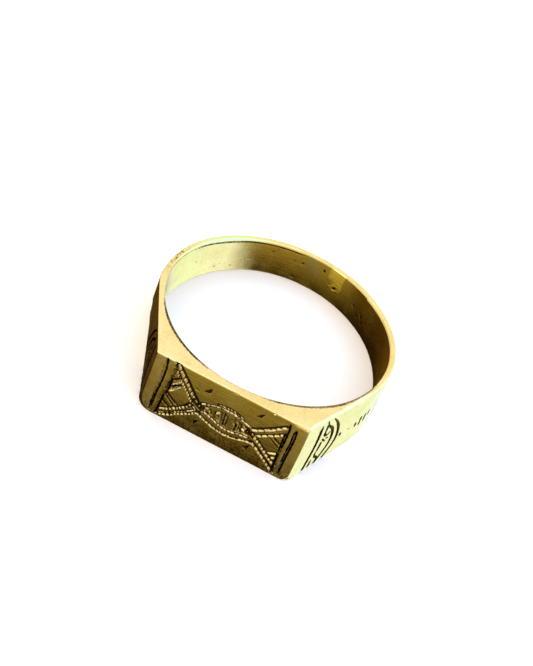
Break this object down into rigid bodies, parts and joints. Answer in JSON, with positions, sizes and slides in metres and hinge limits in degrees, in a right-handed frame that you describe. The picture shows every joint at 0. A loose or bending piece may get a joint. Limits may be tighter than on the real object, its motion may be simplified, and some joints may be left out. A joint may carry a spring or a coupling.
{
  "type": "signet ring",
  "caption": "Signet ring with a flat rectangular engraved head, sloping shoulders and a thin tapering shank with a soldered sizing strip.",
  "frame": {"origin": "centre of the finger hole at mid-width", "axes": "+Z along the finger axis, the engraved table faces -Y, the back of the shank is at +Y"},
  "size_m": [0.0196, 0.0201, 0.0062],
  "materials": {
    "head_gold": "worn polished gold, darkened in the engraving",
    "shank_gold": "worn polished gold with fine scratches",
    "insert_gold": "brighter gold, filed and lightly polished",
    "gold_solder": "dull gold solder",
    "grey_solder": "dull grey silver solder"
  },
  "bodies": {
    "root": {"head": "head_gold", "shank_left": "shank_gold", "shank_right": "shank_gold", "sizing_insert": "insert_gold", "solder_head_left": "gold_solder", "solder_head_right": "gold_solder", "solder_insert_right": "gold_solder", "solder_insert_left": "grey_solder"}
  },
  "joints": []
}
